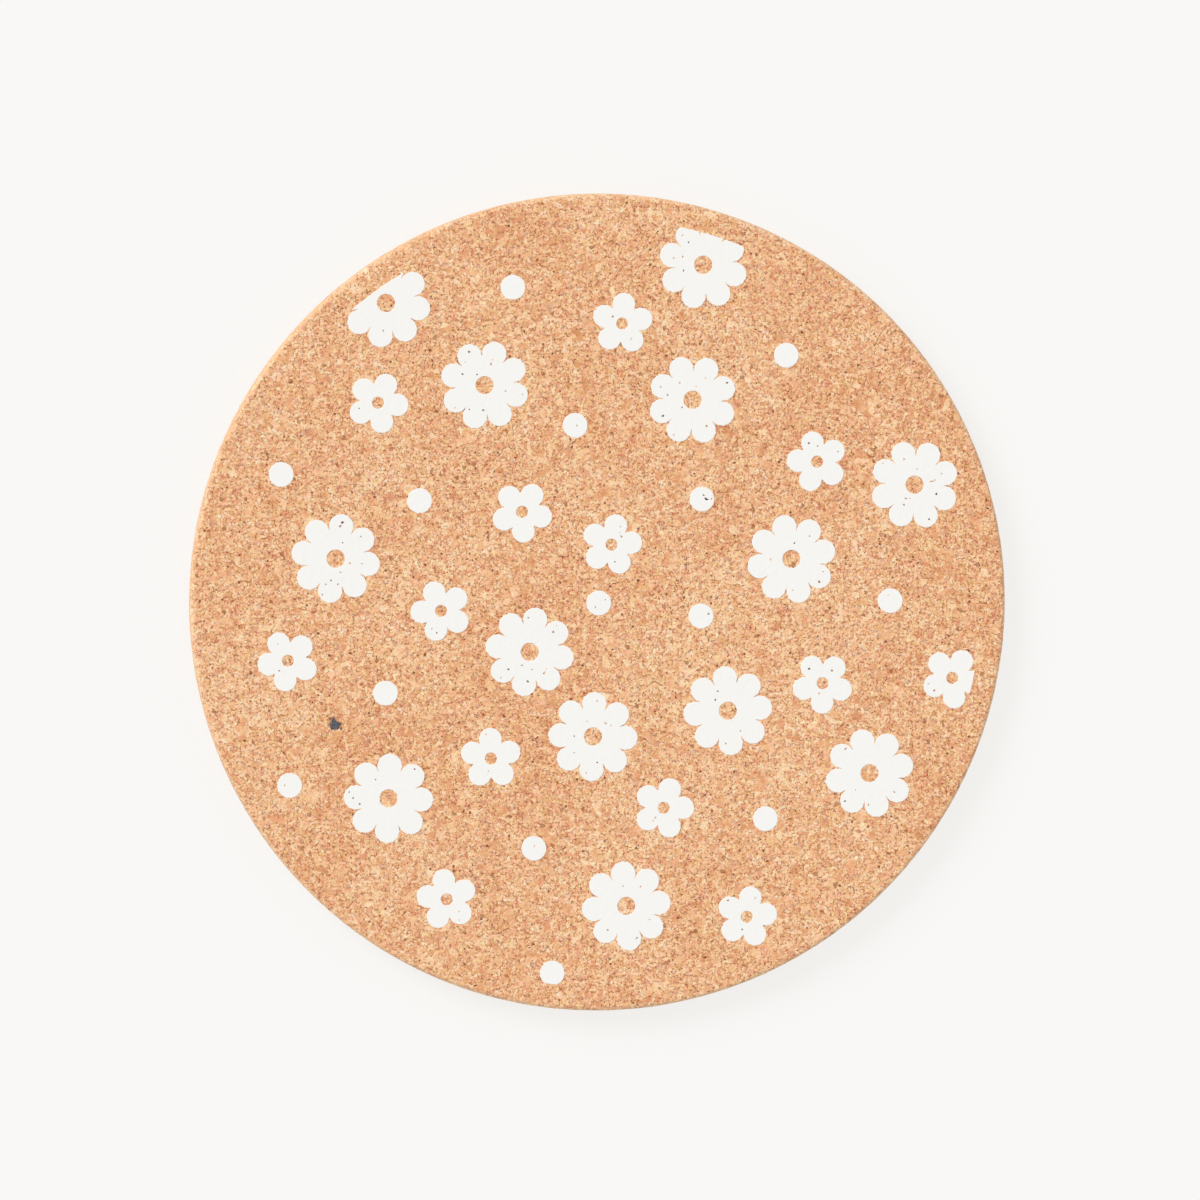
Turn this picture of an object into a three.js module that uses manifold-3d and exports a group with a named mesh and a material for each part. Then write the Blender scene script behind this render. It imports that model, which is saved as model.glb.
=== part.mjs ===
// A round table mat of pressed cork. One thick disc of bonded cork granules carries a white print on
// its upper face: daisies, small blossoms and dots that follow a sunflower spiral and stop at a round
// border. A flake of dark bark is bedded in the top of the disc.
// Millimetres, +Z up. The origin is the centre of the underside, so the mat lies on z = 0.
import * as THREE from "three";
import { mergeVertices } from "three/addons/utils/BufferGeometryUtils.js";
import Module from "manifold-3d";

// The cork disc
const matDiameter = 290;
const matThickness = 10;
const arrisRadius = 1.5; // the rounding of the upper and the lower edge
const discSegments = 120;
const arrisSteps = 3;

// The white print
const inkThickness = 0.15;
const printMargin = 8.5; // bare cork between the rim and the round border of the print
const motifCount = 40;
const outerInset = 4; // the last motif's centre lies this far inside the border
const motifGap = 1; // no two motifs come closer to each other than this
const printTurn = THREE.MathUtils.degToRad(-60); // turns the whole spiral on the mat

// The three motifs, from their centre outwards
const dotRadius = 4.5;
const blossomPetals = 5;
const blossomTipRadius = 11;
const blossomNotchRadius = 6.5;
const blossomEyeRadius = 2.1;
const daisyPetals = 8;
const daisyTipRadius = 16;
const daisyNotchRadius = 10.2;
const daisyEyeRadius = 3.2;
const arcSegments = 4; // half the straight steps along one arc of a motif

// The flake of bark, as an outline around its own centre
const flakeCentre = new THREE.Vector2(-93.8, -42.5);
const flakeThickness = 0.8;
const flakeClearance = 0.3; // between the flake and the pocket that it is bedded in
const flakeOutline = [
  [-0.7, 3.1],
  [0.2, 1.3],
  [1.3, 0.6],
  [2.3, 0.4],
  [1.5, -0.8],
  [1.1, -1.9],
  [-1.4, -2],
  [-1.9, -0.6],
  [-1.1, 1],
].map(([x, y]) => new THREE.Vector2(x, y));

const matRadius = matDiameter / 2;
const printRadius = matRadius - printMargin;
const goldenAngle = Math.PI * (3 - Math.sqrt(5));

const corkMaterial = new THREE.MeshStandardMaterial({ color: 0xe7b389, roughness: 0.9, metalness: 0 });
const inkMaterial = new THREE.MeshStandardMaterial({ color: 0xf6f5f1, roughness: 0.6, metalness: 0 });
const barkMaterial = new THREE.MeshStandardMaterial({ color: 0x5b5a66, roughness: 0.8, metalness: 0 });

const wasm = await Module();
wasm.setup();

// Solids for cutting: a closed geometry as a manifold, and a manifold as a geometry
function solidFrom(geometry) {
  const bare = geometry.clone();
  bare.deleteAttribute("normal");
  bare.deleteAttribute("uv");
  const merged = mergeVertices(bare);
  const vertProperties = merged.attributes.position.array;
  const triVerts = new Uint32Array(merged.index.array);
  return new wasm.Manifold(new wasm.Mesh({ numProp: 3, vertProperties, triVerts }));
}

function geometryFrom(solid) {
  const { vertProperties, triVerts } = solid.getMesh();
  const geometry = new THREE.BufferGeometry();
  geometry.setAttribute("position", new THREE.BufferAttribute(vertProperties, 3));
  geometry.setIndex(new THREE.BufferAttribute(triVerts, 1));
  geometry.computeVertexNormals();
  return geometry;
}

// A flat outline raised along Z from z = 0
function plate(shape, thickness) {
  return new THREE.ExtrudeGeometry(shape, {
    depth: thickness,
    bevelEnabled: false,
    curveSegments: arcSegments,
  });
}

// A circle as two half arcs, so that it gets twice the steps of a petal
function circle(path, radius) {
  path.absarc(0, 0, radius, 0, Math.PI);
  path.absarc(0, 0, radius, Math.PI, 2 * Math.PI);
  return path;
}

// Petals are arcs that meet in a notch. The arc's centre lies where it reaches both tip and notch.
function flowerShape(petals, tipRadius, notchRadius, eyeRadius) {
  const halfPetal = Math.PI / petals;
  const notchAlong = notchRadius * Math.cos(halfPetal);
  const notchAcross = notchRadius * Math.sin(halfPetal);
  const arcCentre = (tipRadius ** 2 - notchRadius ** 2) / (2 * (tipRadius - notchAlong));
  const arcRadius = tipRadius - arcCentre;
  const halfSweep = Math.atan2(notchAcross, notchAlong - arcCentre);
  const shape = new THREE.Shape();
  for (let petal = 0; petal < petals; petal++) {
    const aim = 2 * halfPetal * petal;
    const centre = new THREE.Vector2(arcCentre, 0).rotateAround(new THREE.Vector2(), aim);
    shape.absarc(centre.x, centre.y, arcRadius, aim - halfSweep, aim + halfSweep);
  }
  shape.holes.push(circle(new THREE.Path(), eyeRadius));
  return shape;
}

// The kinds of motif, in the order in which the spiral repeats them
const motifKinds = [
  { name: "dot", reach: dotRadius, shape: circle(new THREE.Shape(), dotRadius) },
  {
    name: "blossom",
    reach: blossomTipRadius,
    shape: flowerShape(blossomPetals, blossomTipRadius, blossomNotchRadius, blossomEyeRadius),
  },
  {
    name: "daisy",
    reach: daisyTipRadius,
    shape: flowerShape(daisyPetals, daisyTipRadius, daisyNotchRadius, daisyEyeRadius),
  },
];

const kindAt = (index) => motifKinds[index % motifKinds.length];

function spiralPoint(index, spacing) {
  const angle = printTurn + index * goldenAngle;
  return new THREE.Vector2(Math.cos(angle), Math.sin(angle)).multiplyScalar(spacing * Math.sqrt(index));
}

// The spiral fills the print's circle, and opens further where its motifs would come too close
function spiralSpacing() {
  let spacing = (printRadius - outerInset) / Math.sqrt(motifCount - 1);
  for (let first = 0; first < motifCount; first++) {
    for (let second = first + 1; second < motifCount; second++) {
      const reach = kindAt(first).reach + kindAt(second).reach + motifGap;
      const apart = spiralPoint(first, 1).distanceTo(spiralPoint(second, 1));
      spacing = Math.max(spacing, reach / apart);
    }
  }
  return spacing;
}

// Where a motif runs past the print's round border it is cut off there
function cutAtBorder(geometry, borderCentre) {
  const borderHeight = 3 * inkThickness; // runs past both faces of the film
  const border = new THREE.CylinderGeometry(printRadius, printRadius, borderHeight, discSegments);
  border.rotateX(Math.PI / 2);
  border.translate(borderCentre.x, borderCentre.y, inkThickness / 2);
  return geometryFrom(solidFrom(geometry).intersect(solidFrom(border)));
}

function printMotif(index, place) {
  const { name, reach, shape } = kindAt(index);
  const turn = place.length() > 0 ? place.angle() : 0;
  let geometry = plate(shape, inkThickness);
  if (place.length() + reach > printRadius) {
    const borderCentre = place.clone().negate().rotateAround(new THREE.Vector2(), -turn);
    geometry = cutAtBorder(geometry, borderCentre);
  }
  const mesh = new THREE.Mesh(geometry, inkMaterial);
  const number = 1 + Math.floor(index / motifKinds.length);
  mesh.name = `${name}_print_${String(number).padStart(2, "0")}`;
  mesh.position.set(place.x, place.y, 0);
  mesh.rotation.z = turn;
  return mesh;
}

function whitePrint() {
  const group = new THREE.Group();
  group.position.z = matThickness;
  const spacing = spiralSpacing();
  for (let index = 0; index < motifCount; index++) {
    const place = spiralPoint(index, spacing);
    if (place.length() < printRadius) group.add(printMotif(index, place));
  }
  return group;
}

// An outline moved outwards by a distance, with mitred corners. The outline runs clockwise.
function grown(outline, distance) {
  return outline.map((corner, i) => {
    const before = outline[(i + outline.length - 1) % outline.length];
    const after = outline[(i + 1) % outline.length];
    const along = corner.clone().sub(before).normalize();
    const onward = after.clone().sub(corner).normalize();
    const mitre = new THREE.Vector2(-along.y - onward.y, along.x + onward.x).normalize();
    const lean = mitre.dot(new THREE.Vector2(-along.y, along.x));
    return corner.clone().addScaledVector(mitre, distance / lean);
  });
}

// The disc's half section, from the axis along the underside, up the rim and back over the top
function discProfile() {
  const path = new THREE.Path();
  path.moveTo(0, 0);
  path.lineTo(matRadius - arrisRadius, 0);
  path.absarc(matRadius - arrisRadius, arrisRadius, arrisRadius, -Math.PI / 2, 0);
  path.absarc(matRadius - arrisRadius, matThickness - arrisRadius, arrisRadius, 0, Math.PI / 2);
  path.lineTo(0, matThickness);
  return path.getPoints(arrisSteps);
}

function corkDisc() {
  const turned = new THREE.LatheGeometry(discProfile(), discSegments);
  turned.rotateX(Math.PI / 2);
  const pocketOutline = new THREE.Shape(grown(flakeOutline, flakeClearance));
  const pocketFloor = matThickness - flakeThickness - flakeClearance;
  const pocket = plate(pocketOutline, matThickness); // runs out through the top
  pocket.translate(flakeCentre.x, flakeCentre.y, pocketFloor);
  const mesh = new THREE.Mesh(geometryFrom(solidFrom(turned).subtract(solidFrom(pocket))), corkMaterial);
  mesh.name = "cork_disc";
  return mesh;
}

function barkFlake() {
  const mesh = new THREE.Mesh(plate(new THREE.Shape(flakeOutline), flakeThickness), barkMaterial);
  mesh.name = "bark_flake";
  mesh.position.set(flakeCentre.x, flakeCentre.y, matThickness - flakeThickness);
  return mesh;
}

const corkMat = new THREE.Group();
corkMat.add(corkDisc(), barkFlake(), whitePrint());

export default corkMat;
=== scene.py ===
import math
import random

import bpy
from mathutils import Matrix, Vector, geometry, kdtree


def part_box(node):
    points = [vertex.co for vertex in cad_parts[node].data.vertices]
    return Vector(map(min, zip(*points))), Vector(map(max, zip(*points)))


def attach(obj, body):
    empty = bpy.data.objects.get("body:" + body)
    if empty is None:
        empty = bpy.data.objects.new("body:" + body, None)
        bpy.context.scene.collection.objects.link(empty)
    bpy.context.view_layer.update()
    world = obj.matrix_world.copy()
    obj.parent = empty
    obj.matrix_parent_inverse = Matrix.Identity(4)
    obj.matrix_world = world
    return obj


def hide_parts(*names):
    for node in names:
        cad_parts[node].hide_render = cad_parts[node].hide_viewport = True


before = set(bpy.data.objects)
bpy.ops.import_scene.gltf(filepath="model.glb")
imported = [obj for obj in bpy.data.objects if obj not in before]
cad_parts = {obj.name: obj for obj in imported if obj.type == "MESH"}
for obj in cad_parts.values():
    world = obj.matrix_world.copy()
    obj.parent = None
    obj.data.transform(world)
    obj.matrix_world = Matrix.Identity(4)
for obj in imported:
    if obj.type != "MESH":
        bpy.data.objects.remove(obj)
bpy.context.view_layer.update()  # a cork placemat lying on z = 0: one body, "root"
mm = 0.001
middleGrey = (0.5, 0.5, 0.5)  # the middle of a noise's colours


# small helpers for node trees, for shaders and geometry alike
def place(tree, kind, inputs=None, **settings):
    made = tree.nodes.new(kind)
    for key, value in settings.items():
        setattr(made, key, value)
    for key, value in (inputs or {}).items():
        if isinstance(value, bpy.types.NodeSocket):
            tree.links.new(value, made.inputs[key])
        else:
            made.inputs[key].default_value = value
    return made


def calc(tree, operation, a, b=0.0, c=0.0):
    return place(tree, "ShaderNodeMath", {0: a, 1: b, 2: c}, operation=operation).outputs[0]


def vectorCalc(tree, operation, a, b):
    return place(tree, "ShaderNodeVectorMath", {0: a, 1: b}, operation=operation).outputs[0]


def normalized(tree, vector):
    return place(tree, "ShaderNodeVectorMath", {0: vector}, operation="NORMALIZE").outputs[0]


def scaled(tree, vector, factor):
    return place(tree, "ShaderNodeVectorMath", {0: vector, "Scale": factor}, operation="SCALE").outputs[0]


def remap(tree, value, low, high, toLow=0.0, toHigh=1.0, smooth=False):
    # value from low..high to toLow..toHigh, held at the ends
    return place(tree, "ShaderNodeMapRange", {0: value, 1: low, 2: high, 3: toLow, 4: toHigh},
                 interpolation_type="SMOOTHSTEP" if smooth else "LINEAR").outputs[0]


def noiseAt(tree, vector, scale, detail=2.0, roughness=0.5):
    return place(tree, "ShaderNodeTexNoise",
                 {"Vector": vector, "Scale": scale, "Detail": detail, "Roughness": roughness})


def cellsAt(tree, vector, scale, feature="F1"):
    return place(tree, "ShaderNodeTexVoronoi", {"Vector": vector, "Scale": scale}, feature=feature)


def mixColour(tree, factor, a, b):
    return place(tree, "ShaderNodeMix", {0: factor, 6: a, 7: b}, data_type="RGBA").outputs[2]


def linear(r, g, b):
    # a colour as a picture shows it, 0..255, to the values a shader takes
    def one(v):
        v /= 255
        return v / 12.92 if v <= 0.04045 else ((v + 0.055) / 1.055) ** 2.4
    return (one(r), one(g), one(b), 1.0)


def ramp(tree, value, stops):
    made = place(tree, "ShaderNodeValToRGB", {0: value})
    band = made.color_ramp
    while len(band.elements) < len(stops):
        band.elements.new(0.5)
    for element, (position, colour) in zip(band.elements, stops):
        element.position = position
        element.color = linear(*colour)
    return made.outputs[0]


def newMaterial(name):
    made = bpy.data.materials.new(name)
    made.use_nodes = True
    made.node_tree.nodes.clear()
    return made, made.node_tree


def finishMaterial(tree, look, colour, height):
    bump = place(tree, "ShaderNodeBump",
                 {"Height": height, "Strength": look["bump"], "Distance": look["bumpDepth"]})
    surface = place(tree, "ShaderNodeBsdfPrincipled",
                    {"Base Color": colour, "Roughness": look["roughness"],
                     "Specular IOR Level": look["specular"], "Normal": bump.outputs[0]})
    place(tree, "ShaderNodeOutputMaterial", {"Surface": surface.outputs[0]})


corkLook = {
    "granule": 1.18,  # mm across
    "crumb": 0.5,  # mm, the smallest bits
    "chip": 2.7,  # mm, the few large pieces
    "chipShare": 0.19,
    "chipCalm": 0.65,  # how much evener a large piece is than loose granules
    "wander": 0.22,  # mm, how far granule edges stray from straight
    "wanderScale": 1.5,  # this and the scales below are waves per mm
    # from the darkest granules to the palest
    "tones": [(0.0, (180, 106, 66)), (0.15, (213, 141, 96)), (0.3, (232, 166, 119)),
              (0.42, (242, 182, 134)), (0.55, (250, 198, 151)), (0.7, (255, 215, 171)),
              (0.85, (255, 231, 196)), (1.0, (255, 245, 224))],
    # how far each kind of piece strays along the tones
    "granuleTone": 0.3,
    "crumbTone": 0.36,
    "chipTone": 0.4,
    "fleckTone": 0.24,
    "fleckScale": 3.4,
    "patchTone": 0.1,  # of a dozen granules together
    "patchScale": 0.3,
    "cloudTone": 0.05,  # of a hand's breadth
    "cloudScale": 0.035,
    "granuleHue": 0.02,  # how far the granules and the crumbs differ in hue, of a full circle
    "crumbHue": 0.021,
    "dull": (208, 162, 130),  # the few granules with less warmth
    "dullShare": 0.045,
    "dullness": 0.5,
    "dark": (138, 64, 38),  # and the fewer dark ones
    "darkShare": 0.006,
    "darkness": 0.6,
    "gap": (150, 64, 31),  # in the seams between pieces: painted shade in their open crevices
    "gapShade": 0.7,
    "granuleSeam": (0.02, 0.18),  # mm from the wall, from full to none
    "granuleOpen": (0.475, 0.575),  # where the noise below opens them
    "chipSeam": (0.02, 0.17),
    "chipOpen": (0.54, 0.66),
    "openScale": 0.9,
    "speck": (128, 58, 34),  # small dark dots: painted shade of small pores
    "speckShade": 0.85,
    "speckPitch": 2.0,  # mm from one place for a speck to the next
    "speckShare": 0.18,  # of those places
    "speckReach": (0.08, 0.28),  # the smallest and the largest, of a pitch
    "speckSoftness": 0.06,
    # the dark of a pore is painted shade, down in its pit
    "pore": (104, 46, 28),
    "poreShade": 0.95,
    "poreEdge": (0.15, 0.85),  # where the shade sets in, from the rim of a pore to its middle
    "rimHue": 0.503,  # the cut rim is creamier and paler than the sanded faces, and paler still as painted highlight of the bright light on its lit side, laid all round
    "rimWarmth": 0.97,
    "rimShade": 0.96,
    "rimPale": (240, 206, 168),
    "rimPaleness": 0.34,
    "roughness": 0.88,
    "specular": 0.2,
    "bump": 0.75,
    "bumpDepth": 0.13 * mm,
    "granuleHeight": 1.0,
    "crumbHeight": 0.5,
    "fleckHeight": 0.3,
}


def corkMaterial():
    look = corkLook
    made, tree = newMaterial("bondedCork")
    spot = place(tree, "ShaderNodeTexCoord").outputs["Object"]
    spot = scaled(tree, spot, 1 / mm)  # everything below is in millimetres

    # granule walls stray, so the cells lose their straight sides
    stray = noiseAt(tree, spot, look["wanderScale"], 2.0, 0.6).outputs["Color"]
    stray = vectorCalc(tree, "SUBTRACT", stray, middleGrey)
    bent = vectorCalc(tree, "ADD", spot, scaled(tree, stray, 2 * look["wander"]))

    def draws(size):
        cells = cellsAt(tree, bent, 1 / size)
        return place(tree, "ShaderNodeSeparateColor", {0: cells.outputs["Color"]}).outputs

    def wallAt(size):
        cells = cellsAt(tree, bent, 1 / size, "DISTANCE_TO_EDGE")
        return calc(tree, "MULTIPLY", cells.outputs["Distance"], size)

    def spread(value, width):
        # a draw from 0 to 1, as a tone to both sides of none
        return calc(tree, "MULTIPLY", calc(tree, "SUBTRACT", value, 0.5), width)

    def swing(noise, low, reach):
        # a noise, which keeps near its middle, over the whole reach to both sides
        return remap(tree, noise, low, 1 - low, -reach, reach)

    def stain(colour, where, strength, tint):
        return mixColour(tree, calc(tree, "MULTIPLY", where, strength), colour, linear(*tint))

    granule, crumb, chip = draws(look["granule"]), draws(look["crumb"]), draws(look["chip"])
    whole = calc(tree, "LESS_THAN", chip[2], look["chipShare"])  # inside one of the large pieces
    loose = calc(tree, "SUBTRACT", 1.0, calc(tree, "MULTIPLY", whole, look["chipCalm"]))

    # a tone for each piece, with smaller bits and flecks in it
    small = calc(tree, "ADD", spread(granule[0], look["granuleTone"]), spread(crumb[0], look["crumbTone"]))
    fleck = noiseAt(tree, spot, look["fleckScale"], 2.0, 0.7).outputs[0]
    small = calc(tree, "ADD", small, swing(fleck, 0.25, look["fleckTone"]))
    tone = calc(tree, "MULTIPLY_ADD", small, loose, 0.5)
    tone = calc(tree, "ADD", tone, calc(tree, "MULTIPLY", spread(chip[0], look["chipTone"]), whole))
    patch = noiseAt(tree, spot, look["patchScale"], 2.0, 0.5).outputs[0]
    cloud = noiseAt(tree, spot, look["cloudScale"], 2.0, 0.5).outputs[0]
    tone = calc(tree, "ADD", tone, swing(patch, 0.3, look["patchTone"]))
    tone = calc(tree, "ADD", tone, swing(cloud, 0.35, look["cloudTone"]))
    colour = ramp(tree, tone, look["tones"])
    hue = calc(tree, "ADD", spread(granule[1], look["granuleHue"]), spread(crumb[1], look["crumbHue"]))
    hue = calc(tree, "ADD", hue, 0.5)
    colour = place(tree, "ShaderNodeHueSaturation", {"Hue": hue, "Color": colour}).outputs[0]
    dull = calc(tree, "LESS_THAN", granule[1], look["dullShare"])
    colour = stain(colour, dull, look["dullness"], look["dull"])
    dark = calc(tree, "GREATER_THAN", granule[1], 1 - look["darkShare"])
    colour = stain(colour, dark, look["darkness"], look["dark"])

    # dark seams round the granules, open only here and there: painted shade in the crevices between them
    openness = noiseAt(tree, spot, look["openScale"], 2.0, 0.6).outputs[0]
    granuleSeam = remap(tree, wallAt(look["granule"]), *look["granuleSeam"], 1.0, 0.0, smooth=True)
    granuleSeam = calc(tree, "MULTIPLY", granuleSeam, remap(tree, openness, *look["granuleOpen"]))
    granuleSeam = calc(tree, "MULTIPLY", granuleSeam, loose)
    chipSeam = remap(tree, wallAt(look["chip"]), *look["chipSeam"], 1.0, 0.0, smooth=True)
    chipSeam = calc(tree, "MULTIPLY", chipSeam, remap(tree, openness, *look["chipOpen"]))
    seam = calc(tree, "MAXIMUM", granuleSeam, chipSeam)
    colour = stain(colour, seam, look["gapShade"], look["gap"])

    # small dark specks among the granules, sunk a little by the bump: painted shade of small pores
    specks = cellsAt(tree, bent, 1 / look["speckPitch"])
    speckDraw = place(tree, "ShaderNodeSeparateColor", {0: specks.outputs["Color"]})
    speckReach = remap(tree, speckDraw.outputs[1], 0.0, 1.0, *look["speckReach"])
    speck = calc(tree, "SUBTRACT", speckReach, specks.outputs["Distance"])
    speck = remap(tree, speck, 0.0, look["speckSoftness"])
    speck = calc(tree, "MULTIPLY", speck, calc(tree, "LESS_THAN", speckDraw.outputs[0], look["speckShare"]))
    colour = stain(colour, speck, look["speckShade"], look["speck"])

    # the cut rim, paler in part as painted highlight, and the open pores that the mesh has, darkened as
    # painted shade
    rim = place(tree, "ShaderNodeAttribute", attribute_name="rim").outputs["Fac"]
    cut = place(tree, "ShaderNodeHueSaturation",
                {"Hue": look["rimHue"], "Saturation": look["rimWarmth"], "Value": look["rimShade"],
                 "Color": colour}).outputs[0]
    cut = mixColour(tree, look["rimPaleness"], cut, linear(*look["rimPale"]))
    colour = mixColour(tree, rim, colour, cut)
    pore = place(tree, "ShaderNodeAttribute", attribute_name="pore").outputs["Fac"]
    pore = remap(tree, pore, *look["poreEdge"], smooth=True)
    colour = stain(colour, pore, look["poreShade"], look["pore"])

    height = spread(granule[2], look["granuleHeight"])
    height = calc(tree, "ADD", height, spread(crumb[2], look["crumbHeight"]))
    height = calc(tree, "ADD", height, calc(tree, "MULTIPLY", fleck, look["fleckHeight"]))
    height = calc(tree, "SUBTRACT", height, calc(tree, "ADD", seam, speck))
    finishMaterial(tree, look, colour, height)
    return made


inkLook = {
    "white": (246, 245, 241),
    "thin": (239, 233, 222),  # where the film is thinnest over a granule
    "thinness": 0.5,
    "thinFrom": (0.55, 0.78),  # where the grain thins it not at all, and where most
    "grainScale": 1.7,  # waves per mm
    # the cork in a pinhole, from its own pale tone to dark painted shade down in the hole
    "pinhole": [(0.28, (236, 194, 158)), (0.55, (192, 126, 88)), (0.82, (78, 35, 25))],
    "pinholePatch": 1.6,  # mm, within which pinholes are alike
    "pinholeEdge": (0.05, 0.4),  # where the cork and its painted shade show, from the rim of a pinhole to its middle
    "roughness": 0.55,
    "specular": 0.2,
    "bump": 0.35,
    "bumpDepth": 0.08 * mm,
}


def inkMaterial():
    look = inkLook
    made, tree = newMaterial("whiteInk")
    spot = scaled(tree, place(tree, "ShaderNodeTexCoord").outputs["Object"], 1 / mm)
    grain = noiseAt(tree, spot, look["grainScale"], 3.0, 0.6).outputs[0]
    thin = remap(tree, grain, *look["thinFrom"], smooth=True)
    thin = calc(tree, "MULTIPLY", thin, look["thinness"])
    colour = mixColour(tree, thin, linear(*look["white"]), linear(*look["thin"]))
    pore = place(tree, "ShaderNodeAttribute", attribute_name="pore").outputs["Fac"]
    patch = cellsAt(tree, spot, 1 / look["pinholePatch"]).outputs["Color"]
    patch = place(tree, "ShaderNodeSeparateColor", {0: patch}).outputs[0]
    bottom = ramp(tree, patch, look["pinhole"])
    colour = mixColour(tree, remap(tree, pore, *look["pinholeEdge"], smooth=True), colour, bottom)
    finishMaterial(tree, look, colour, grain)
    return made


barkLook = {
    "tones": [(0.3, (58, 56, 64)), (0.7, (116, 115, 126))],
    "grainScale": 1.6,  # waves per mm
    "roughness": 0.8,
    "specular": 0.3,
    "bump": 0.6,
    "bumpDepth": 0.15 * mm,
}


def barkMaterial():
    look = barkLook
    made, tree = newMaterial("darkBark")
    spot = scaled(tree, place(tree, "ShaderNodeTexCoord").outputs["Object"], 1 / mm)
    grain = noiseAt(tree, spot, look["grainScale"], 4.0, 0.65).outputs[0]
    finishMaterial(tree, look, ramp(tree, grain, look["tones"]), grain)
    return made


cork, ink, bark = corkMaterial(), inkMaterial(), barkMaterial()
print("materials made")


# a flat outline filled with an even net of triangles
def inside(x, y, loops):
    odd = False
    for loop in loops:
        for (x0, y0), (x1, y1) in zip(loop, loop[1:] + loop[:1]):
            if (y0 > y) != (y1 > y) and x < x0 + (y - y0) * (x1 - x0) / (y1 - y0):
                odd = not odd
    return odd


def netPoints(loops, size, step, draw, within):
    # rows of points in a triangular lattice, each moved a little, clear of the outline
    jitter = size["jitter"]
    edge = [p for loop in loops for p in loop]
    near = kdtree.KDTree(len(edge))
    for i, (x, y) in enumerate(edge):
        near.insert((x, y, 0), i)
    near.balance()
    xs, ys = [p[0] for p in edge], [p[1] for p in edge]
    rowStep = step * math.sqrt(3) / 2
    points = []
    for row in range(int((max(ys) - min(ys)) / rowStep) + 1):
        y = min(ys) + row * rowStep
        for column in range(int((max(xs) - min(xs)) / step) + 2):
            x = min(xs) + (column + 0.5 * (row % 2)) * step
            px = x + draw.uniform(-jitter, jitter) * step
            py = y + draw.uniform(-jitter, jitter) * step
            if within(px, py) and near.find((px, py, 0))[2] > size["clear"] * step:
                points.append((px, py))
    return points


def fillNet(loops, points):
    # triangles inside the first loop, with the points as their corners; the other loops are
    # round holes, where a triangle has all its corners on the loop and is left out
    corners = [Vector(p) for loop in loops for p in loop]
    edges, holes, start = [], [], 0
    for loop in loops:
        count = len(loop)
        edges += [(start + i, start + (i + 1) % count) for i in range(count)]
        if start:
            holes.append(set(range(start, start + count)))
        start += count
    corners += [Vector(p) for p in points]
    filled = geometry.delaunay_2d_cdt(corners, edges, [], 1, 1e-9)
    kept = [t for t in filled[2] if not any(hole.issuperset(t) for hole in holes)]
    return filled[0], kept


def plainMesh(piece, modifier):
    # the evaluated tree becomes the piece's own mesh
    depsgraph = bpy.context.evaluated_depsgraph_get()
    shaped = bpy.data.meshes.new_from_object(piece.evaluated_get(depsgraph))
    piece.modifiers.remove(modifier)
    old, piece.data = piece.data, shaped
    shaped.name = piece.name
    bpy.data.meshes.remove(old)
    return piece


def newTree(name, inputs):
    tree = bpy.data.node_groups.new(name, "GeometryNodeTree")
    tree.interface.new_socket("Geometry", in_out="INPUT", socket_type="NodeSocketGeometry")
    for label, kind, value in inputs:
        socket = tree.interface.new_socket(label, in_out="INPUT", socket_type="NodeSocket" + kind)
        if value is not None:
            socket.default_value = value
    tree.interface.new_socket("Geometry", in_out="OUTPUT", socket_type="NodeSocketGeometry")
    return tree, place(tree, "NodeGroupInput").outputs


def endTree(tree, shape, material):
    shape = place(tree, "GeometryNodeRealizeInstances", {0: shape}).outputs[0]
    shape = place(tree, "GeometryNodeSetMaterial", {"Geometry": shape, "Material": material}).outputs[0]
    place(tree, "NodeGroupOutput", {0: shape})


def useTree(piece, tree, values):
    modifier = piece.modifiers.new(tree.name, "NODES")
    modifier.node_group = tree
    sockets = {s.name: s.identifier for s in tree.interface.items_tree
               if s.item_type == "SOCKET" and s.in_out == "INPUT"}
    for label, value in values.items():
        modifier[sockets[label]] = value
    return plainMesh(piece, modifier)


def newPiece(name, corners, faces, marks=None):
    mesh = bpy.data.meshes.new(name)
    mesh.from_pydata(corners, [], faces)
    for label, values in (marks or {}).items():
        mesh.attributes.new(label, "FLOAT", "POINT").data.foreach_set("value", values)
    piece = bpy.data.objects.new(name, mesh)
    bpy.context.scene.collection.objects.link(piece)
    return piece


def markOf(tree, label):
    # a number that each corner of the mesh carries
    return place(tree, "GeometryNodeInputNamedAttribute", {"Name": label}, data_type="FLOAT").outputs[0]


def drawBetween(tree, span, seed):
    # a random number for each corner
    return place(tree, "FunctionNodeRandomValue", {2: span[0], 3: span[1], "Seed": seed},
                 data_type="FLOAT").outputs[1]


poreShape = {
    "crowd": 0.2,  # a pore with another beside it is left out
    "brink": 0.121,  # and so is one with an edge beside it
    "uneven": (0.65, 1.35),  # how far its rim strays, of its width
    "unevenSeed": 7,
    "narrowest": 0.35,  # its own stretch along each axis, drawn from this to 1 more
    "edgeKept": 0.3,  # corners with an edge mark above this stay in their place
}


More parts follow.
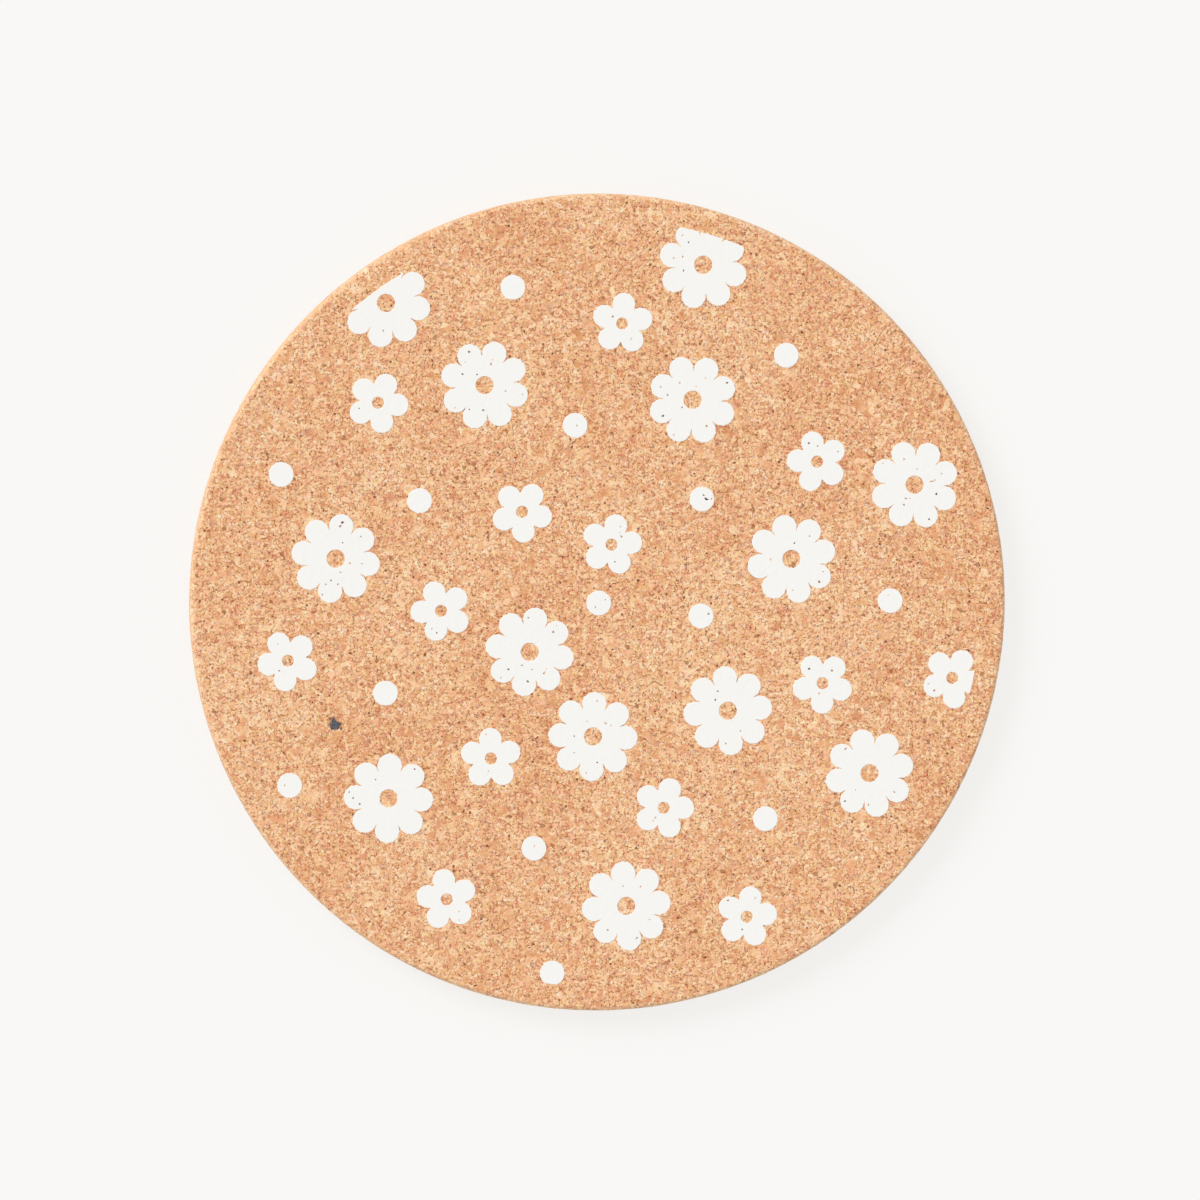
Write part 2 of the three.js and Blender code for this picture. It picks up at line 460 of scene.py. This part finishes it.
def drawPores(tree, shape, share, reach, width, seed):
    # some corners of the net become pores: the corners round each are drawn in to its rim,
    # from as far as reach times the net's step, which is 0 where pores aren't wanted
    size = poreShape
    step = markOf(tree, "netStep")
    chosen = place(tree, "FunctionNodeRandomValue", {"Probability": share, "Seed": seed},
                   data_type="BOOLEAN").outputs[3]
    crowd = place(tree, "GeometryNodeBlurAttribute", {"Value": chosen}, data_type="FLOAT").outputs[0]
    chosen = calc(tree, "MULTIPLY", chosen, calc(tree, "LESS_THAN", crowd, size["crowd"]))
    chosen = calc(tree, "MULTIPLY", chosen, calc(tree, "GREATER_THAN", step, 0.0))
    edge = markOf(tree, "edge")
    brink = place(tree, "GeometryNodeBlurAttribute", {"Value": edge}, data_type="FLOAT").outputs[0]
    chosen = calc(tree, "MULTIPLY", chosen, calc(tree, "LESS_THAN", brink, size["brink"]))
    shape = place(tree, "GeometryNodeStoreNamedAttribute",
                  {"Geometry": shape, "Name": "pore", "Value": chosen},
                  data_type="FLOAT", domain="POINT").outputs[0]
    mark = markOf(tree, "pore")
    isPore = calc(tree, "GREATER_THAN", mark, 0.5)
    pores = place(tree, "GeometryNodeSeparateGeometry", {0: shape, 1: isPore}, domain="POINT").outputs[0]
    nearest = place(tree, "GeometryNodeProximity", {0: pores}, target_element="POINTS")
    spot = place(tree, "GeometryNodeInputPosition").outputs[0]
    away = vectorCalc(tree, "SUBTRACT", spot, nearest.outputs["Position"])
    uneven = drawBetween(tree, size["uneven"], size["unevenSeed"])
    rim = scaled(tree, normalized(tree, away), calc(tree, "MULTIPLY", width, uneven))
    own = scaled(tree, nearest.outputs["Position"], 1 / mm)
    own = place(tree, "ShaderNodeTexWhiteNoise", {"Vector": own}).outputs["Color"]
    rim = vectorCalc(tree, "MULTIPLY", rim, vectorCalc(tree, "ADD", own, [size["narrowest"]] * 3))
    rim = vectorCalc(tree, "ADD", nearest.outputs["Position"], rim)
    close = calc(tree, "LESS_THAN", nearest.outputs["Distance"], calc(tree, "MULTIPLY", reach, step))
    close = calc(tree, "MULTIPLY", close, nearest.outputs["Is Valid"])  # a small film may have no pore
    ring = calc(tree, "MULTIPLY", close, calc(tree, "LESS_THAN", mark, 0.5))
    ring = calc(tree, "MULTIPLY", ring, calc(tree, "LESS_THAN", edge, size["edgeKept"]))
    return place(tree, "GeometryNodeSetPosition",
                 {"Geometry": shape, "Selection": ring, "Position": rim}).outputs[0], mark


discShape = {
    "faceStep": 1.12 * mm,  # net of the printed face
    "backStep": 1.9 * mm,  # and of the underside
    "ringStep": 1.1 * mm,
    "jitter": 0.16,  # of a step, how far the net's corners stray
    "clear": 0.55,  # of a step, how far they keep from the outline
    "arris": 1.5 * mm,  # rounding of the two edges
    "arrisRows": 5,
    "rimRows": 7,
    "grainSize": 1.9 * mm,
    "grainRelief": 0.09 * mm,
    "grainMiddle": 0.75,  # of the relief, the part that lies below the face
    "poreShare": 0.036,
    "poreReach": 1.25,  # steps of the net
    "poreWidth": 0.4 * mm,
    "poreDepth": 0.28 * mm,
    "poreDepths": (0.6, 1.1),  # of that depth
    "depthSeed": 3,
    "crumble": 0.55 * mm,  # how deep the edges have worn away at the most
    "crumbleScale": 0.42 / mm,
    "crumbleFrom": (0.5, 0.72),  # where that noise takes nothing, and where all
    "brinkWear": 0.35,  # the share of it where the flat faces end
    "brinkWidth": 0.1 * mm,
    "rimWear": 0.12,  # and on the rim
    "rimBlend": 1.4,  # how fast the look of the cut rim, with its painted highlight, sets in over the rounding
    "bedDepth": 0.5 * mm,  # under the bark flake
    "bedReach": 0.45,  # of the flake's longer side
    "seed": 12,
}


def corkTree():
    tree, given = newTree("corkGrain", [
        ("Grain Size", "Float", discShape["grainSize"]),
        ("Grain Relief", "Float", discShape["grainRelief"]),
        ("Pore Share", "Float", discShape["poreShare"]),
        ("Pore Reach", "Float", discShape["poreReach"]),
        ("Pore Width", "Float", discShape["poreWidth"]),
        ("Pore Depth", "Float", discShape["poreDepth"]),
        ("Crumble", "Float", discShape["crumble"]),
        ("Seed", "Int", discShape["seed"]),
        ("Material", "Material", None),
    ])
    shape, mark = drawPores(tree, given["Geometry"], given["Pore Share"], given["Pore Reach"],
                            given["Pore Width"], given["Seed"])
    spot = place(tree, "GeometryNodeInputPosition").outputs[0]
    facing = place(tree, "GeometryNodeInputNormal").outputs[0]

    # each granule stands a little higher or lower than the next
    cellScale = calc(tree, "DIVIDE", 1.0, given["Grain Size"])
    cells = cellsAt(tree, spot, cellScale)
    level = place(tree, "FunctionNodeSeparateColor", {0: cells.outputs["Color"]}).outputs[0]
    lift = calc(tree, "SUBTRACT", level, discShape["grainMiddle"])
    lift = calc(tree, "MULTIPLY", lift, given["Grain Relief"])

    # pores go down, and the edges crumble where granules have come away
    depth = drawBetween(tree, discShape["poreDepths"], discShape["depthSeed"])
    depth = calc(tree, "MULTIPLY", calc(tree, "MULTIPLY", mark, depth), given["Pore Depth"])
    lost = noiseAt(tree, spot, discShape["crumbleScale"], 2.0, 0.6).outputs[0]
    lost = calc(tree, "MULTIPLY", remap(tree, lost, *discShape["crumbleFrom"]), markOf(tree, "edge"))
    lost = calc(tree, "MULTIPLY", lost, given["Crumble"])
    lift = calc(tree, "SUBTRACT", calc(tree, "SUBTRACT", lift, depth), lost)
    shape = place(tree, "GeometryNodeSetPosition",
                  {"Geometry": shape, "Offset": scaled(tree, facing, lift)}).outputs[0]
    endTree(tree, shape, given["Material"])
    return tree


discMap = {
    "name": "OFBake",  # the UV map that the layout below fills
    "face": (0.4, 0.4, 0.79),  # middle and width of the printed face on it
    "back": (0.814, 0.814, 0.36),
    "strips": 4,  # the rim, cut into equal lengths
    "stripSpan": (0.006, 0.622),
    "stripFoot": 0.81,
    "stripHeight": 0.034,
    "stripPitch": 0.044,
}


def layOutDisc(mesh, radius, around, faceCount, backCount):
    # each face as it looks from its own side, and the rim unrolled in strips
    plan = discMap
    rows = (len(mesh.polygons) - faceCount - backCount) // around
    left, right = plan["stripSpan"]
    places = []
    for face in mesh.polygons:
        if face.index < faceCount + backCount:
            printed = face.index < faceCount
            middleX, middleY, width = plan["face"] if printed else plan["back"]
            perMetre = width / (2 * radius)
            for i in face.vertices:
                at = mesh.vertices[i].co
                places += [middleX + perMetre * (at.x if printed else -at.x), middleY + perMetre * at.y]
            continue
        row, column = divmod(face.index - faceCount - backCount, around)
        strip = plan["strips"] * column // around
        foot = plan["stripFoot"] + strip * plan["stripPitch"]
        for across, down in ((0, 0), (0, 1), (1, 1), (1, 0)):
            along = plan["strips"] * (column + across) / around - strip
            up = foot + plan["stripHeight"] * (1 - (row + down) / rows)
            places += [left + (right - left) * along, up]
    mesh.uv_layers.new(name=plan["name"], do_init=False).uv.foreach_set("vector", places)


def corkDisc():
    size = discShape
    low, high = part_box("cork_disc")
    radius, thickness = (high.x - low.x) / 2, high.z - low.z
    flakeLow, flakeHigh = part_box("bark_flake")
    arris, draw = size["arris"], random.Random(size["seed"])
    around = round(2 * math.pi * radius / size["ringStep"])
    flatRadius = radius - arris

    def ringAt(r, z):
        return [(r * math.cos(2 * math.pi * i / around), r * math.sin(2 * math.pi * i / around), z)
                for i in range(around)]

    flatLoop = [(x, y) for x, y, z in ringAt(flatRadius, 0)]

    def onFlat(x, y):
        return math.hypot(x, y) < flatRadius

    def bed(x, y):
        # the flake's place is a little lower than the cork around it
        middle = (flakeLow + flakeHigh) / 2
        reach = size["bedReach"] * max(flakeHigh.x - flakeLow.x, flakeHigh.y - flakeLow.y)
        return size["bedDepth"] if math.hypot(x - middle.x, y - middle.y) < reach else 0.0

    corners, faces, edge, rim, netStep = [], [], [], [], []
    rings, faceCounts = [], []
    for top in (True, False):
        step = size["faceStep"] if top else size["backStep"]
        points = netPoints([flatLoop], size, step, draw, onFlat)
        found, triangles = fillNet([flatLoop], points)
        start = len(corners)
        for v in found:
            corners.append((v.x, v.y, thickness - bed(v.x, v.y) if top else 0.0))
            onRing = math.hypot(v.x, v.y) > flatRadius - size["brinkWidth"]
            edge.append(size["brinkWear"] if onRing else 0.0)
            rim.append(0.0)
            netStep.append(0.0 if onRing else step)
        for t in triangles:
            faces.append([start + i for i in (t if top else reversed(t))])
        rings.append(range(start, start + around))
        faceCounts.append(len(triangles))

    # the rounded edges and the rim between the two flat faces
    profile = []
    for i in range(1, size["arrisRows"] + 1):
        turn = math.pi / 2 * i / size["arrisRows"]
        profile.append((flatRadius + arris * math.sin(turn), thickness - arris * (1 - math.cos(turn)),
                        math.sin(2 * turn)))
    straight = thickness - 2 * arris
    for i in range(1, size["rimRows"]):
        profile.append((radius, thickness - arris - straight * i / size["rimRows"], size["rimWear"]))
    for r, z, wear in profile[size["arrisRows"] - 1::-1]:
        profile.append((r, thickness - z, wear))
    for r, z, wear in profile:
        rings.insert(-1, range(len(corners), len(corners) + around))
        corners += ringAt(r, z)
        edge += [wear] * around
        rim += [min(1.0, size["rimBlend"] * (r - flatRadius) / arris)] * around
        netStep += [size["ringStep"] if arris < z < thickness - arris else 0.0] * around
    for above, below in zip(rings, rings[1:]):
        faces += [[above[i], below[i], below[(i + 1) % around], above[(i + 1) % around]]
                  for i in range(around)]

    piece = newPiece("corkDisc", corners, faces, {"edge": edge, "rim": rim, "netStep": netStep})
    useTree(piece, corkTree(), {"Material": cork})
    layOutDisc(piece.data, radius, around, *faceCounts)
    return piece


disc = corkDisc()
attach(disc, "root")
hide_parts("cork_disc")
print("cork disc:", len(disc.data.polygons), "faces")


filmShape = {
    "netStep": 0.85 * mm,
    "outlineStep": 0.45 * mm,
    "jitter": 0.15,  # of a step, how far the net's corners stray
    "clear": 0.6,  # of a step, how far they keep from the outline
    "sink": 0.06 * mm,  # how far the ink soaks into the cork
    "wander": 0.15 * mm,  # raggedness of the outline
    "wanderScale": 1.1 / mm,
    "bite": 0.48 * mm,  # and where it missed a hollow in the cork
    "biteScale": 0.3 / mm,
    "biteFrom": (0.56, 0.68),  # where that noise adds nothing, and where all
    "poreShare": 0.013,
    "poreReach": 1.3,  # steps of the net
    "poreWidth": 0.52 * mm,
    "slope": 0.14 * mm,  # how far its edge slopes in
    "ripple": 0.05 * mm,
    "rippleScale": 0.48 / mm,
    "weld": 0.002 * mm,  # corners closer than this are one
    "seed": 31,
}


def filmTree():
    tree, given = newTree("inkFilm", [
        ("Thickness", "Float", 0.15 * mm),
        ("Sink", "Float", filmShape["sink"]),
        ("Wander", "Float", filmShape["wander"]),
        ("Bite", "Float", filmShape["bite"]),
        ("Pore Share", "Float", filmShape["poreShare"]),
        ("Pore Reach", "Float", filmShape["poreReach"]),
        ("Pore Width", "Float", filmShape["poreWidth"]),
        ("Slope", "Float", filmShape["slope"]),
        ("Ripple", "Float", filmShape["ripple"]),
        ("Seed", "Int", filmShape["seed"]),
        ("Material", "Material", None),
    ])
    # the outline strays over the granules
    spot = place(tree, "GeometryNodeInputPosition").outputs[0]
    edge = markOf(tree, "edge")
    stray = noiseAt(tree, spot, filmShape["wanderScale"], 2.0, 0.65).outputs["Color"]
    stray = vectorCalc(tree, "SUBTRACT", stray, middleGrey)
    stray = vectorCalc(tree, "MULTIPLY", stray, (2.0, 2.0, 0.0))
    hollow = noiseAt(tree, spot, filmShape["biteScale"], 2.0, 0.6).outputs[0]
    hollow = remap(tree, hollow, *filmShape["biteFrom"])
    stretch = calc(tree, "MULTIPLY_ADD", hollow, given["Bite"], given["Wander"])
    stray = scaled(tree, stray, calc(tree, "MULTIPLY", edge, stretch))
    flat = place(tree, "GeometryNodeSetPosition",
                 {"Geometry": given["Geometry"], "Offset": stray}).outputs[0]
    flat, mark = drawPores(tree, flat, given["Pore Share"], given["Pore Reach"], given["Pore Width"],
                           given["Seed"])

    # raised to its thickness, rippled over the granules, with pinholes down to the cork
    full = calc(tree, "ADD", given["Thickness"], given["Sink"])
    rise = place(tree, "ShaderNodeCombineXYZ", {"Z": full}).outputs[0]
    raised = place(tree, "GeometryNodeExtrudeMesh",
                   {"Mesh": flat, "Offset": rise, "Offset Scale": 1.0, "Individual": False},
                   mode="FACES")
    wave = noiseAt(tree, spot, filmShape["rippleScale"], 2.0, 0.5).outputs[0]
    wave = remap(tree, wave, 0.25, 0.75, -1.0, 0.0)
    drop = calc(tree, "MULTIPLY", wave, given["Ripple"])
    drop = calc(tree, "SUBTRACT", drop, calc(tree, "MULTIPLY", mark, given["Thickness"]))
    fall = place(tree, "ShaderNodeCombineXYZ", {"Z": drop}).outputs[0]
    facing = place(tree, "GeometryNodeInputNormal").outputs[0]
    inward = normalized(tree, vectorCalc(tree, "MULTIPLY", facing, (-1.0, -1.0, 0.0)))
    inward = scaled(tree, inward, calc(tree, "MULTIPLY", edge, given["Slope"]))
    raisedTop = place(tree, "GeometryNodeSetPosition",
                      {"Geometry": raised.outputs["Mesh"], "Selection": raised.outputs["Top"],
                       "Offset": vectorCalc(tree, "ADD", fall, inward)}).outputs[0]
    under = place(tree, "GeometryNodeFlipFaces", {0: flat}).outputs[0]
    joined = place(tree, "GeometryNodeJoinGeometry")
    tree.links.new(raisedTop, joined.inputs[0])
    tree.links.new(under, joined.inputs[0])
    closed = place(tree, "GeometryNodeMergeByDistance",
                   {"Geometry": joined.outputs[0], "Distance": filmShape["weld"]})
    endTree(tree, closed.outputs[0], given["Material"])
    return tree


def topLoops(node, z):
    # the outlines of a flat piece's upper face, as closed lists of points
    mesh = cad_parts[node].data
    seen, edges = {}, {}
    for v in mesh.vertices:
        if v.co.z > z - 0.01 * mm:
            seen[v.index] = (round(v.co.x, 7), round(v.co.y, 7))
    for face in mesh.polygons:
        ids = list(face.vertices)
        if all(i in seen for i in ids):
            for a, b in zip(ids, ids[1:] + ids[:1]):
                a, b = seen[a], seen[b]
                if (b, a) in edges:
                    del edges[(b, a)]
                elif a != b:
                    edges[(a, b)] = True
    follow = dict(edges.keys())
    loops = []
    while follow:
        first = next(iter(follow))
        loop, at = [], first
        while at in follow:
            loop.append(at)
            at = follow.pop(at)
        loops.append(loop)
    # the outer outline first, then any hole
    return sorted(loops, key=lambda loop: min(x for x, y in loop))


def evenLoop(loop, step):
    points = []
    for (x0, y0), (x1, y1) in zip(loop, loop[1:] + loop[:1]):
        count = max(1, round(math.hypot(x1 - x0, y1 - y0) / step))
        points += [(x0 + (x1 - x0) * i / count, y0 + (y1 - y0) * i / count) for i in range(count)]
    # corners closer than half a step would fold a sloping edge
    return [p for before, p in zip(points[-1:] + points, points) if math.dist(before, p) > step / 2]


def inkFilm(node, tree, number):
    size = filmShape
    low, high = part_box(node)
    loops = [evenLoop(loop, size["outlineStep"]) for loop in topLoops(node, high.z)]
    draw = random.Random(size["seed"] + number)
    points = netPoints(loops, size, size["netStep"], draw, lambda x, y: inside(x, y, loops))
    found, triangles = fillNet(loops, points)
    onEdge = sum(len(loop) for loop in loops)
    corners = [(v.x, v.y, low.z - size["sink"]) for v in found]
    piece = newPiece(node.replace("_print_", "Film"), corners, triangles,
                     {"edge": [1.0 if i < onEdge else 0.0 for i in range(len(corners))],
                      "netStep": [size["netStep"]] * len(corners)})
    useTree(piece, tree, {"Thickness": high.z - low.z, "Seed": size["seed"] + number, "Material": ink})
    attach(piece, "root")
    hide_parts(node)
    return piece


filmNodes = sorted(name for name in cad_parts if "_print_" in name)
inkTree = filmTree()
films = [inkFilm(node, inkTree, number) for number, node in enumerate(filmNodes)]
print("ink films:", len(films), "with", sum(len(f.data.polygons) for f in films), "faces")


flakeShape = {
    "netStep": 0.35 * mm,
    "outlineStep": 0.3 * mm,
    "jitter": 0.2,  # of a step, how far the net's corners stray
    "clear": 0.55,  # of a step, how far they keep from the outline
    "edgeDrop": 0.02 * mm,
    "proud": 0.08 * mm,  # how far its middle stands above the cork
    "roughness": 0.12 * mm,
    "roughSpan": (-1, 0.4),  # of the roughness
    "seed": 5,
}


def barkFlake():
    size = flakeShape
    low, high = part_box("bark_flake")
    loops = [evenLoop(loop, size["outlineStep"]) for loop in topLoops("bark_flake", high.z)]
    draw = random.Random(size["seed"])
    points = netPoints(loops, size, size["netStep"], draw, lambda x, y: inside(x, y, loops))
    found, triangles = fillNet(loops, points)
    onEdge = len(loops[0])
    count = len(found)
    corners = []
    for i, v in enumerate(found):
        rise = -size["edgeDrop"]
        if i >= onEdge:
            rise = size["proud"] + draw.uniform(*size["roughSpan"]) * size["roughness"]
        corners.append((v.x, v.y, high.z + rise))
    corners += [(v.x, v.y, low.z) for v in found]
    faces = [list(t) for t in triangles]
    faces += [[count + i for i in reversed(t)] for t in triangles]
    faces += [[i, count + i, count + (i + 1) % onEdge, (i + 1) % onEdge] for i in range(onEdge)]
    piece = newPiece("barkFlake", corners, faces)
    piece.data.materials.append(bark)
    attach(piece, "root")
    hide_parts("bark_flake")
    return piece


flake = barkFlake()
print("bark flake:", len(flake.data.polygons), "faces")


stageLook = {
    "floor": (249, 248, 246),
    "floorGlow": 0.82,  # how much of the floor's paleness is its own, so that the shadow stays light
    "floorSide": 6.0,
    "worldLight": 0.67,
    "sunStrength": 1.85,
    "sunSoftness": 32.0,  # degrees across
    "sunHeight": 34.0,  # degrees above the floor
    "sunTowards": 140.0,  # degrees round from +X: up and to the left
}


def seenDirectly(tree):
    # 1 for what the camera sees, also in a reflection or through glass
    path = place(tree, "ShaderNodeLightPath")
    seen = calc(tree, "MAXIMUM", path.outputs["Is Camera Ray"], path.outputs["Is Glossy Ray"])
    return calc(tree, "MAXIMUM", seen, path.outputs["Is Transmission Ray"])


def direction(height, towards):
    # towards a place at a height above the floor and round from +X, both in degrees
    height, towards = math.radians(height), math.radians(towards)
    return Vector((math.cos(height) * math.cos(towards), math.cos(height) * math.sin(towards),
                   math.sin(height)))


def studio():
    look = stageLook
    half = look["floorSide"] / 2
    floor = newPiece("floor", [(-half, -half, 0), (half, -half, 0), (half, half, 0), (-half, half, 0)],
                     [(0, 1, 2, 3)])
    made, tree = newMaterial("paleFloor")
    lit = place(tree, "ShaderNodeBsdfDiffuse", {"Color": linear(*look["floor"])})
    shown = place(tree, "ShaderNodeEmission", {"Color": linear(*look["floor"]), "Strength": 1.0})
    share = calc(tree, "MULTIPLY", seenDirectly(tree), look["floorGlow"])
    surface = place(tree, "ShaderNodeMixShader", {0: share, 1: lit.outputs[0], 2: shown.outputs[0]})
    place(tree, "ShaderNodeOutputMaterial", {"Surface": surface.outputs[0]})
    floor.data.materials.append(made)

    world = bpy.data.worlds.new("paleRoom")
    bpy.context.scene.world = world
    world.use_nodes = True
    tree = world.node_tree
    tree.nodes.clear()
    lit = place(tree, "ShaderNodeBackground", {"Color": (1, 1, 1, 1), "Strength": look["worldLight"]})
    shown = place(tree, "ShaderNodeBackground", {"Color": linear(*look["floor"]), "Strength": 1.0})
    mixed = place(tree, "ShaderNodeMixShader",
                  {0: seenDirectly(tree), 1: lit.outputs[0], 2: shown.outputs[0]})
    place(tree, "ShaderNodeOutputWorld", {"Surface": mixed.outputs[0]})

    lamp = bpy.data.lights.new("window", "SUN")
    lamp.energy = look["sunStrength"]
    lamp.angle = math.radians(look["sunSoftness"])
    at = direction(look["sunHeight"], look["sunTowards"])
    key = bpy.data.objects.new("window", lamp)
    key.location = at
    key.rotation_euler = at.to_track_quat("Z", "Y").to_euler()
    bpy.context.scene.collection.objects.link(key)


cameraView = {
    "centrePixel": (598.8, 603.1),  # the mat's middle in a picture of 1200 x 1200
    "radiusPixels": 408.9,
    "pictureSide": 1200,
    "sensor": 36.0,
    "farthest": 50.0,
    "distance": 6.0,
    "lean": 6.0,  # degrees off square to the printed face
    "leanTowards": 148.0,  # degrees round from +X: up and to the left
}


def camera():
    given = cameraView
    low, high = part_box("cork_disc")
    radius = (high.x - low.x) / 2
    back = direction(90 - given["lean"], given["leanTowards"])
    across = radius * given["pictureSide"] / given["radiusPixels"]  # what the picture spans at the mat
    lens = bpy.data.cameras.new("camera")
    lens.sensor_width = given["sensor"]
    lens.lens = lens.sensor_width * given["distance"] / across
    lens.clip_end = given["farthest"]
    made = bpy.data.objects.new("camera", lens)
    bpy.context.scene.collection.objects.link(made)
    # +Y is up in the picture
    right = Vector((0, 1, 0)).cross(back).normalized()
    up = back.cross(right)
    perPixel = across / given["pictureSide"]
    offRight = (given["centrePixel"][0] - given["pictureSide"] / 2) * perPixel
    offUp = (given["pictureSide"] / 2 - given["centrePixel"][1]) * perPixel
    aim = Vector((0, 0, high.z)) - right * offRight - up * offUp
    stand = aim + back * given["distance"]
    made.matrix_world = Matrix([[right[i], up[i], back[i], stand[i]] for i in range(3)] + [[0, 0, 0, 1]])
    bpy.context.scene.camera = made


studio()
camera()
bpy.context.scene.view_settings.view_transform = "Standard"
print("studio and camera set")
